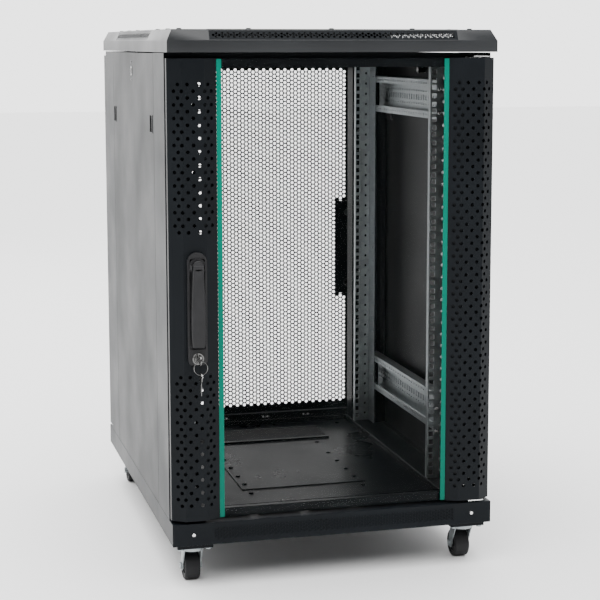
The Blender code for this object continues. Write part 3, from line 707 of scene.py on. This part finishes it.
class CABINET_OT_rails(bpy.types.Operator):
    """Square-holed mounting rails and the perforated depth rails that carry them"""
    bl_idname = "cabinet.rails"
    bl_label = "Rails"

    def execute(self, context):
        flip = Matrix.Scale(-1, 4, (0, 1, 0))
        centre = Matrix.Translation(spot(0, MIDDLE, 0))
        other_end = centre @ flip @ centre.inverted()
        left = self.mounting_rail()
        rails = {"front_left": left, "front_right": mirrored(left),
                 "rear_left": twin(left, other_end)}
        rails["rear_right"] = mirrored(rails["rear_left"])
        for corner, piece in rails.items():
            end, side = corner.split("_")
            node = "mounting_rail_" + corner
            stand_in(node, piece, "cabinet", "zinc", zinc_plate(), 30)
            self.rail_screws(node, end, side)
        lower = self.depth_rail()
        lift = (reach("depth_rail_upper_left")[0].z - reach("depth_rail_lower_left")[0].z) * MM
        upper = twin(lower, Matrix.Translation((0, 0, lift)))
        for level, piece in (("lower", lower), ("upper", upper)):
            for side, made in (("right", mirrored(piece)), ("left", piece)):
                node = f"depth_rail_{level}_{side}"
                stand_in(node, made, "cabinet", "zinc", zinc_plate(), 30)
        return {"FINISHED"}

    def mounting_rail(self):
        node = "mounting_rail_front_left"
        low, high = reach(node)
        face = low.y
        piece = soften(take(node), 0.7, 3)
        half = pattern().rack_hole / MM / 2
        start = low.z + 5
        squares = []
        for offset in UNIT_HOLES:
            z = start + offset
            squares.append(slab((-232.6 - half, half - 232.6), (face - 4, face + 4),
                                (z - half, z + half)))
        squares = soften(gather(*squares), 0.8, 1)
        repeat(squares, (RACK_UNITS, (0, 0, UNIT)))
        outer = slab((-254.2, -249.0), (face - 4, face + 4), (start + 8, start + 14))
        repeat(soften(outer, 2.4, 2), (2 * RACK_UNITS, (0, 0, UNIT / 2)))
        flank = drum((-261, (low.y + high.y) / 2 + 8, start + 16), 2.6, 8, "X", 12)
        repeat(flank, (25, (0, 0, 31.0)))
        return carve(piece, gather(squares, outer, flank))

    def rail_screws(self, node, end, side):
        low, high = reach(node)
        face, way = (low.y, -1) if end == "front" else (high.y, 1)
        places = []
        for level in ("upper", "lower"):
            a, b = reach(f"depth_rail_{level}_{side}")
            places += [(SIDES[side] * 243.5, face, (a.z + b.z) / 2 + dz) for dz in (-22, 22)]
        fit(screws(places, (0, way, 0), 4.0, 2.2), node + "_screws", "cabinet", "chrome",
            bright_plate())

    def depth_rail(self):
        node = "depth_rail_lower_left"
        low, high = reach(node)
        middle = (low.z + high.z) / 2
        web, lip = low.x + 0.7, high.x - 0.7
        piece = soften(take(node), 0.6, 2)
        count, step = 33, 15.0
        start = (low.y + high.y) / 2 - step * (count - 1) / 2
        slot = slab((web - 3, web + 3), (start - 2.6, start + 2.6), (middle - 6, middle + 6))
        tools = [soften(slot, 2.2, 2)]
        tools += [drum((web, start, middle + dz), 2.3, 6, "X", 12) for dz in (-13, 13)]
        tools += [drum((lip, start, middle + dz), 2.3, 6, "X", 12) for dz in (-31, 31)]
        return carve(piece, repeat(gather(*tools), (count, (0, step, 0))))


# Roof

class CABINET_OT_roof(bpy.types.Operator):
    """Top cover with its vent strips, roof screws and brushed cable entry"""
    bl_idname = "cabinet.roof"
    bl_label = "Top cover"

    def execute(self, context):
        tilt = math.atan2(10, 20)
        slope = Matrix.Rotation(-tilt, 4, "X")
        x, z = (-226.0, 225.0), (2.0, 20.0)
        cover = soften(take("top_cover"), 1.2, 3)
        band_top = ROOF - 20
        front = Matrix.Translation(spot(0, 0, band_top)) @ slope
        side_span, side_z = (-185.0, 210.0), (2.0, 20.0)
        tools, sheets = [self.window(x, z, front)], [(x, z, front, "front")]
        quarter = Matrix.Rotation(-math.pi / 2, 4, "Z")
        for side, sign in SIDES.items():
            turn = quarter if side == "left" else quarter.inverted()
            place = Matrix.Translation(spot(sign * SIDE, MIDDLE, band_top)) @ turn @ slope
            area = side_span if side == "right" else (-side_span[1], -side_span[0])
            tools.append(self.window(area, side_z, place))
            sheets.append((area, side_z, place, side))
        carve(cover, *tools)
        fit(smooth(cover), "roof_cover", "cabinet", "black_paint", roof_paint(), "top_cover")
        for area, height, place, name in sheets:
            sunk = place @ Matrix.Translation((0, 0.4 * MM, 0))
            strip = vent_sheet(area, height, sunk)
            fit(smooth(strip), "roof_vent_" + name, "cabinet", "black_paint", sheet_paint())
        places = [(s * 268, y, ROOF) for s in (-1, 1) for y in (60, 170, 280, 520, 630, 740)]
        places += [(x, y, ROOF) for x in (-150, 0, 150) for y in (35, 775)]
        fit(screws(places, (0, 0, 1), 4.5, 2.2), "roof_screws", "cabinet", "black_paint",
            sheet_paint())
        brush_strips("roof_brush", (-130, 130), (690, 750), ROOF - 5.6)
        return {"FINISHED"}

    def window(self, x, z, place):
        size = Vector((x[1] - x[0], 8, z[1] - z[0])) * MM
        centre = Vector(((x[0] + x[1]) / 2, 0, (z[0] + z[1]) / 2)) * MM
        bpy.ops.mesh.primitive_cube_add(size=1)
        tool = bpy.context.object
        tool.matrix_world = place @ Matrix.LocRotScale(centre, None, size)
        return settle(tool)


class CABINET_OT_fans(bpy.types.Operator):
    """Roof fans: housing, rotor with twisted blades, and the wire guard above"""
    bl_idname = "cabinet.fans"
    bl_label = "Roof fans"

    def execute(self, context):
        for side in SIDES:
            self.housing(side)
            self.rotor(side)
            self.guard(side)
        return {"FINISHED"}

    def housing(self, side):
        node = "fan_housing_" + side
        low, high = reach(node)
        centre = (low + high) / 2
        piece = soften(take(node), 0.8, 2)
        notch = drum((centre.x - 60, centre.y - 60, centre.z), 6, 14, "Z", 20)
        repeat(notch, (2, (120, 0, 0)), (2, (0, 120, 0)))
        carve(piece, notch)
        stand_in(node, piece, "cabinet", "black_plastic", lock_plastic())
        reach_out = (-FAN_SCREW, FAN_SCREW)
        places = [(centre.x + dx, centre.y + dy, ROOF) for dx in reach_out for dy in reach_out]
        fit(screws(places, (0, 0, 1), 3.6, 1.8), "fan_screws_" + side, "cabinet", "chrome",
            bright_plate())

    def rotor(self, side):
        node = "fan_rotor_" + side
        low, high = reach(node)
        centre = (low + high) / 2
        hub = drum(centre, 19, 18, "Z", 40)
        soften(hub, 2.0, 4)
        count = pattern().blades
        blades = []
        for index in range(count):
            bpy.ops.mesh.primitive_grid_add(x_subdivisions=10, y_subdivisions=6, size=1)
            blade = bpy.context.object
            blade.scale = (37 * MM, 24 * MM, 1)
            blade.location = (35.5 * MM, 0, 0)
            settle(blade)
            for vertex in blade.data.vertices:
                radius = vertex.co.x / MM
                pitch = math.radians(48 - 0.45 * radius)
                chord = vertex.co.y * (0.72 + radius / 130)
                camber = 0.0022 * (1 - (vertex.co.y / (12 * MM)) ** 2)
                vertex.co.y = chord * math.cos(pitch) - camber * math.sin(pitch)
                vertex.co.z = chord * math.sin(pitch) + camber * math.cos(pitch)
            change(blade, "SOLIDIFY", thickness=1.1 * MM, offset=0)
            spin = Matrix.Rotation(math.tau * index / count, 4, "Z")
            blade.matrix_world = Matrix.Translation(spot(*centre)) @ spin
            blades.append(settle(blade))
        piece = gather(hub, *blades)
        stand_in(node, piece, node, "black_plastic", lock_plastic())

    def guard(self, side):
        node = "fan_guard_" + side
        low, high = reach(node)
        centre = (low + high) / 2
        wire = 0.85
        parts = [hoop((*centre.xy, high.z - wire), radius, wire)
                 for radius in (13, 21, 29, 37, 45, 53)]
        for turn in range(4):
            angle = math.radians(45 + 90 * turn)
            spoke = drum((0, 0, 0), wire, 50, "X", 8)
            spoke.data.transform(Matrix.Translation((33 * MM, -FRONT, 0)))
            spoke.matrix_world = (Matrix.Translation(spot(*centre.xy, high.z - 2 * wire))
                                  @ Matrix.Rotation(angle, 4, "Z"))
            parts.append(settle(spoke))
        stand_in(node, gather(*parts), "cabinet", "chrome", bright_plate())


# Doors

class CABINET_OT_glass_door(bpy.types.Operator):
    """Front door: punched columns, inner frame, glass and the two green stripes"""
    bl_idname = "cabinet.glass_door"
    bl_label = "Glass door"

    FOLDS = ((1.0, 15.0), (24.0, 0.0), (65.0, 0.0), (87.0, 10.0))

    def execute(self, context):
        for side, sign in SIDES.items():
            self.column(side, sign)
            node = "glass_stripe_" + side
            # The stripes get the green enamel with painted light, lighter towards the top.
            stand_in(node, soften(take(node), 0.2), "front_door", "green", green_enamel())
        fit(smooth(soften(take("door_inner_frame"), 0.5)), "door_inner_ring", "front_door",
            "black_paint", sheet_paint(), "door_inner_frame")
        fit(smooth(soften(take("glass_pane"), 0.7)), "door_glass", "front_door", "glass",
            tempered_glass(), "glass_pane")
        return {"FINISHED"}

    def column(self, side, sign):
        node = "door_column_" + side
        piece = soften(take(node), 0.7, 2, 22)
        outer, fold, second, inner = (Vector(p) for p in self.FOLDS)
        away = (outer - fold).normalized()
        along = (inner - second).normalized()
        slope_out = math.atan2(away.y, -away.x)
        slope_in = math.atan2(along.y, along.x)
        flat = [(fold + Vector((a, 0)), 0.0) for a in (10.25, 30.75)]
        row_a = flat + [(fold + away * 7.0, -slope_out), (second + along * 6.5, slope_in)]
        row_b = [(fold, -slope_out / 2), (fold + Vector((20.5, 0)), 0.0), (second, slope_in / 2),
                 (fold + away * 14.5, -slope_out), (second + along * 13.5, slope_in)]
        pitch = pattern().column_pitch / MM
        top = 894.0
        if side == "left":
            runs = ((0, 23), (44, 65))
        else:
            runs = ((0, 65),)
        tools = []
        for first, last in runs:
            for parity, row in enumerate((row_a, row_b)):
                rows = [i for i in range(first, last) if i % 2 == parity]
                for place, turn in row:
                    x = sign * (SIDE - place.x)
                    hole = drum((x, place.y, top - rows[0] * pitch),
                                pattern().column_hole / MM / 2, 9, "Y", 12, -sign * turn)
                    repeat(hole, (len(rows), (0, 0, -2 * pitch)))
                    tools.append(hole)
        carve(piece, gather(*tools))
        stand_in(node, piece, "front_door", "black_paint", sheet_paint(), 30)


class CABINET_OT_rear_door(bpy.types.Operator):
    """Rear door: folded pan with a honeycomb of hexagonal holes"""
    bl_idname = "cabinet.rear_door"
    bl_label = "Rear door"

    def execute(self, context):
        x, z = (-250.0, 250.0), (136.0, 914.0)
        notch = ((231.0, 262.0), (394.0, 607.0))
        outer = DEPTH
        pan = soften(take("rear_door"), 0.8)
        window = carve(slab(x, (outer - 4, outer + 4), z),
                       slab(notch[0], (outer - 6, outer + 6), notch[1]))
        carve(pan, window)
        fit(smooth(pan), "rear_door_pan", "rear_door", "black_paint", sheet_paint(),
            "rear_door")
        cell, web = pattern().door_cell / MM, pattern().door_web / MM
        margin = 2.0
        zone = ((notch[0][0] - cell * 0.8, notch[0][1]), (notch[1][0] - cell, notch[1][1] + cell))
        sheet = honeycomb((x[0] - margin, x[1] + margin), (z[0] - margin, z[1] + margin),
                          x, z, cell, web, (zone,))
        open_faces(sheet, lambda face: face.calc_center_median().x / MM > notch[0][0] + 3
                   and notch[1][0] + 3 < face.calc_center_median().z / MM < notch[1][1] - 3)
        bpy.ops.mesh.delete(type="FACE")
        close(sheet)
        change(sheet, "SOLIDIFY", thickness=1.0 * MM, offset=-1)
        sheet.location = spot(0, outer - 1.25, 0)
        settle(sheet)
        fit(smooth(sheet, 30), "rear_door_honeycomb", "rear_door", "black_paint",
            sheet_paint())
        return {"FINISHED"}


# Swing handles and keys

class CABINET_OT_handles(bpy.types.Operator):
    """Swing handles with their locks, the key in the front lock and the ring of spares"""
    bl_idname = "cabinet.handles"
    bl_label = "Handles and keys"

    def execute(self, context):
        low, high = reach("front_handle_housing")
        x, z = (low.x + high.x) / 2, high.z - 25
        lock_z = z - 162
        self.both(self.housing(x, z), "handle_housing", "door", "black_plastic", lock_plastic())
        self.both(smooth(soften(take("front_handle_hub"), 0.4)), "handle_hub", "handle_hub",
                  "zinc", lock_plastic())
        self.both(self.lever(x, z), "handle_lever", "handle_lever", "black_plastic",
                  lock_plastic())
        self.both(smooth(soften(take("front_lock_plug"), 0.35)), "lock_plug", "lock_plug",
                  "chrome", key_plate())
        collar = drum((x, low.y - 0.4, lock_z), 10.5, 1.6, "Y", 40)
        collar = smooth(soften(carve(collar, drum((x, low.y, lock_z), 7.4, 9, "Y", 40)), 0.5, 3))
        back = turned_round(collar)
        fit(collar, "front_lock_collar", "front_door", "chrome", key_plate())
        fit(back, "rear_lock_collar", "rear_door", "chrome", key_plate())
        self.keys(x, lock_z)
        return {"FINISHED"}

    def both(self, piece, part, body, slot, material):
        back = turned_round(piece)
        for end, made in (("front", piece), ("rear", back)):
            fit(made, f"{end}_{part}_finished", f"{end}_{body}", slot, material,
                f"{end}_{part}")

    def housing(self, x, z):
        low = reach("front_handle_housing")[0]
        piece = soften(take("front_handle_housing"), 2.2, 4, 40)
        dish = slab((x - 13.6, x + 13.6), (low.y - 4, low.y + 3.4), (z - 146, z + 14))
        soften(dish, 3.0, 4)
        return smooth(carve(piece, dish))

    def lever(self, x, z):
        low, high = reach("front_handle_lever")
        blade = slab((x - 9.5, x + 9.5), (low.y + 1, high.y), (z - 6, z + 5))
        steps = [((0, 0, -22), (1.10, 1.02, 1)), ((0, 0, -26), (1.12, 1.06, 1)),
                 ((0, 0, -30), (1.06, 1.02, 1)), ((0, 0, -28), (1.0, 1.0, 1)),
                 ((0, 0, -18), (0.95, 1.0, 1)), ((0, 0, -11), (0.90, 0.94, 1))]
        stretched(blade, lambda face: face.normal.z < -0.9, steps)
        soften(blade, 3.2, 5, 50)
        knuckle = soften(drum((x, (low.y + high.y) / 2, z), 5.4, 19, "X", 28), 0.6)
        cap = drum((x, low.y + 2.8, z + 2.5), 9.5, 3.6, "Y", 40)
        tail = slab((x - 9.5, x + 9.5), (low.y + 1, low.y + 4.6), (z - 18, z + 2.5))
        return smooth(gather(blade, knuckle, soften(cap, 1.4, 4), soften(tail, 1.4, 4)))

    def keys(self, x, lock_z):
        hole_y = -33.0
        key = soften(take("key"), 0.35)
        fit(smooth(key), "door_key", "front_lock_plug", "chrome", key_plate(), "key")
        ring = hoop((x, hole_y, lock_z - 12), 12, 0.8, "Y", 40)
        spare_z = lock_z - 29
        bow = drum((x, hole_y, spare_z), 9.5, 2, "X", 32)
        carve(bow, drum((x, hole_y, spare_z + 6), 2.2, 9, "X", 20))
        soften(bow, 0.35)
        blade = slab((x - 0.8, x + 0.8), (hole_y - 3.5, hole_y + 3.5),
                     (spare_z - 31.5, spare_z - 8))
        cuts = [slab((x - 3, x + 3), (hole_y + depth, hole_y + 8), (spare_z - d - 2, spare_z - d))
                for d, depth in ((15, 1.6), (19, 0.6), (23, 2.0), (27, 1.0))]
        carve(blade, *cuts)
        soften(blade, 0.25)
        stand_in("key_ring", gather(ring, bow, blade), "key_ring", "chrome", key_plate())


# Side panels

class CABINET_OT_side_panels(bpy.types.Operator):
    """Lift-off side panels with slide latches, rivets and a cam lock"""
    bl_idname = "cabinet.side_panels"
    bl_label = "Side panels"

    def execute(self, context):
        for side, sign in SIDES.items():
            body = "side_panel_" + side
            # The panels wear the lighter copy of the sheet paint, which is painted light.
            stand_in(body, soften(take(body), 1.0, 3), body, "grey_paint", panel_paint_with_painted_light())
            self.lock(side, sign, body)
            for end in ENDS:
                self.latch(end, side, sign, body)
        return {"FINISHED"}

    def lock(self, side, sign, body):
        node = "side_lock_" + side
        plug = soften(take(node), 0.4)
        face, z = sign * SIDE, SIDE_LOCK_Z
        carve(plug, slab((face - 3, face + 3), (MIDDLE - 0.9, MIDDLE + 0.9), (z - 3.6, z + 3.6)))
        stand_in(node, plug, node, "chrome", key_plate())
        rim = drum((face + sign * 0.4, MIDDLE, z), 9.5, 1.2, "X", 40)
        carve(rim, drum((face, MIDDLE, z), 6.2, 9, "X", 40))
        fit(smooth(soften(rim, 0.4)), node + "_rim", body, "chrome", key_plate())
        rivets = screws([(face, MIDDLE, z + dz) for dz in (-17, 17)], (sign, 0, 0), 2.8, 1.0)
        fit(rivets, node + "_rivets", body, "chrome", key_plate())

    def latch(self, end, side, sign, body):
        node = f"side_latch_{end}_{side}"
        low, high = reach(node)
        y, z = (low.y + high.y) / 2, (low.z + high.z) / 2
        slider = soften(take(node), 0.5)
        ridges = slab((sign * SIDE - 6, sign * SIDE + 6), (y - 1.8, y + 1.8), (z - 11, z - 10))
        carve(slider, repeat(ridges, (8, (0, 0, 3))))
        stand_in(node, slider, node, "grey_paint", lock_plastic())
        face = sign * SIDE
        rim = slab(sorted((face - sign * 1.0, face + sign * 0.6)), (y - 15.6, y + 15.6),
                   (z - 16.6, z + 16.6))
        carve(rim, slab((face - 5, face + 5), (y - 13.8, y + 13.8), (z - 14.8, z + 14.8)))
        # The latch rim wears the panels' lighter paint, which is painted light.
        fit(smooth(soften(rim, 0.3)), node + "_rim", body, "grey_paint", panel_paint_with_painted_light())


# Casters

class CABINET_OT_casters(bpy.types.Operator):
    """Swivel casters: plate with bolts, fork, wheel core and tread"""
    bl_idname = "cabinet.casters"
    bl_label = "Casters"

    def execute(self, context):
        for end in ENDS:
            for side in SIDES:
                corner = f"{end}_{side}"
                self.mount(corner)
                self.fork(corner)
                self.wheel(corner)
        return {"FINISHED"}

    def mount(self, corner):
        node = "caster_mount_" + corner
        low, high = reach(node)
        middle = (low + high) / 2
        stand_in(node, soften(take(node), 1.0, 3), "cabinet", "black_paint", sheet_paint())
        places = [(middle.x + a, middle.y + b, high.z - 8) for a in (-25, 25) for b in (-25, 25)]
        fit(screws(places, (0, 0, -1), 5.5, 3.2, True), node + "_bolts", "cabinet", "zinc",
            zinc_plate())

    def fork(self, corner):
        node = "caster_fork_" + corner
        wheel = reach("caster_wheel_" + corner)
        axle = (wheel[0] + wheel[1]) / 2
        piece = soften(take(node), 0.8, 3)
        heads = [soften(drum((axle.x + s * 18.4, axle.y, axle.z), 6.6, 2.8, "X", 6), 0.6)
                 for s in (-1, 1)]
        stand_in(node, gather(piece, *heads), node, "zinc", zinc_plate())

    def wheel(self, corner):
        node = "caster_wheel_" + corner
        low, high = reach(node)
        middle = (low + high) / 2
        half = (high.x - low.x) / 2
        radius = (high.z - low.z) / 2
        tyre = drum(middle, radius, 2 * half, "X", 56)
        carve(tyre, drum(middle, 17.5, 3 * half, "X", 48))
        soften(tyre, 3.0, 4, 40)
        core = drum(middle, 17.4, 2 * half - 3, "X", 48)
        for sign in (-1, 1):
            ring = drum((middle.x + sign * half, middle.y, middle.z), 15, 8, "X", 48)
            carve(ring, drum((middle.x + sign * half, middle.y, middle.z), 8, 12, "X", 32))
            carve(core, ring)
        carve(core, drum(middle, 4.4, 3 * half, "X", 24))
        soften(core, 0.5)
        fit(smooth(tyre), node + "_tyre", node, "tread", wheel_rubber(), node)
        fit(smooth(core), node + "_core", node, "tread", lock_plastic())


# Stage

class CABINET_OT_stage(bpy.types.Operator):
    """Pale floor, soft lights and the camera"""
    bl_idname = "cabinet.stage"
    bl_label = "Stage"

    def execute(self, context):
        self.floor(context)
        self.sky(context)
        self.lamp("key_light", (-2.2, -2.6, 3.2), (0, 0, 0.5), 2.6, 9)
        self.lamp("fill_light", (2.8, -2.4, 1.8), (0, 0, 0.5), 2.2, 5)
        self.lamp("back_light", (-1.4, 3.2, 2.6), (0, 0.2, 0.5), 2.6, 50)
        self.lamp("top_light", (0.0, 0.0, 3.4), (0, 0, 0.4), 2.4, 24)
        bpy.ops.object.light_add(type="SUN", location=(0, 0, 5))
        ceiling = context.object
        ceiling.name = "ceiling_light"
        ceiling.data.energy = 6.5
        ceiling.data.angle = math.radians(75)
        ceiling.rotation_euler = (math.radians(16), math.radians(-8), 0)
        self.camera(context)
        return {"FINISHED"}

    def floor(self, context):
        low = CAD_BOUNDS[0].z
        bpy.ops.mesh.primitive_plane_add(size=40, location=(0, 0, low))
        floor = settle(context.object)
        floor.name = "studio_floor"
        material, tree, shader = sheet_of_nodes("studio_floor")
        colour = colour_of("floor")
        cloud = add(tree, "TexNoise", {"Vector": stretch(tree, (1, 1, 1)), "Scale": 0.6,
                                       "Detail": 3}).outputs["Fac"]
        feed(tree, shader,
             Base_Color=shades(tree, cloud, (0.2, tinted(colour, 0.985)), (0.8, colour)),
             Roughness=span(tree, cloud, 0.55, 0.65))
        floor.data.materials.append(material)

    def sky(self, context):
        world = bpy.data.worlds.new("studio")
        context.scene.world = world
        world.use_nodes = True
        tree = world.node_tree
        place = add(tree, "TexCoord").outputs["Generated"]
        depth = add(tree, "SeparateXYZ", {"Vector": place}).outputs["Y"]
        level = span(tree, depth, 0.13, 3.0, -0.25, 0.85)
        background = tree.nodes["Background"]
        background.inputs["Color"].default_value = (1, 1, 1, 1)
        tree.links.new(level, background.inputs["Strength"])

    def lamp(self, name, place, target, size, power):
        bpy.ops.object.light_add(type="AREA", location=place)
        light = bpy.context.object
        light.name = name
        light.data.size = size
        light.data.energy = power
        aim = Vector(target) - Vector(place)
        light.rotation_euler = aim.to_track_quat("-Z", "Y").to_euler()

    def camera(self, context):
        bpy.ops.object.camera_add(location=(-0.773, -3.1082, 0.9625))
        camera = context.object
        camera.rotation_euler = (math.radians(90 - 7.81), 0, math.radians(-15.21))
        camera.data.sensor_width = 36
        camera.data.lens = 96.26
        camera.data.shift_x = -0.03
        camera.data.shift_y = -0.06
        context.scene.camera = camera


class CABINET_PT_panel(bpy.types.Panel):
    """Shows the cabinet's finish and pattern settings and a button for each step"""
    bl_idname = "CABINET_PT_panel"
    bl_label = "Rack cabinet"
    bl_space_type = "VIEW_3D"
    bl_region_type = "UI"
    bl_category = "Cabinet"

    def draw(self, context):
        for group in (context.scene.cabinet_finish, context.scene.cabinet_pattern):
            column = self.layout.column(align=True)
            for name in group.bl_rna.properties.keys():
                if name not in ("rna_type", "name"):
                    column.prop(group, name)
        for step in STEPS:
            self.layout.operator(step.bl_idname)


STEPS = (CABINET_OT_base, CABINET_OT_frames, CABINET_OT_rails, CABINET_OT_roof,
         CABINET_OT_fans, CABINET_OT_glass_door, CABINET_OT_rear_door, CABINET_OT_handles,
         CABINET_OT_side_panels, CABINET_OT_casters, CABINET_OT_stage)
CLASSES = (CabinetFinish, CabinetPattern) + STEPS + (CABINET_PT_panel,)


def register():
    for cls in CLASSES:
        bpy.utils.register_class(cls)
    bpy.types.Scene.cabinet_finish = PointerProperty(type=CabinetFinish)
    bpy.types.Scene.cabinet_pattern = PointerProperty(type=CabinetPattern)


def unregister():
    del bpy.types.Scene.cabinet_pattern
    del bpy.types.Scene.cabinet_finish
    for cls in reversed(CLASSES):
        bpy.utils.unregister_class(cls)


def main():
    register()
    for step in STEPS:
        group, name = step.bl_idname.split(".")
        getattr(getattr(bpy.ops, group), name)()


if __name__ == "__main__":
    main()
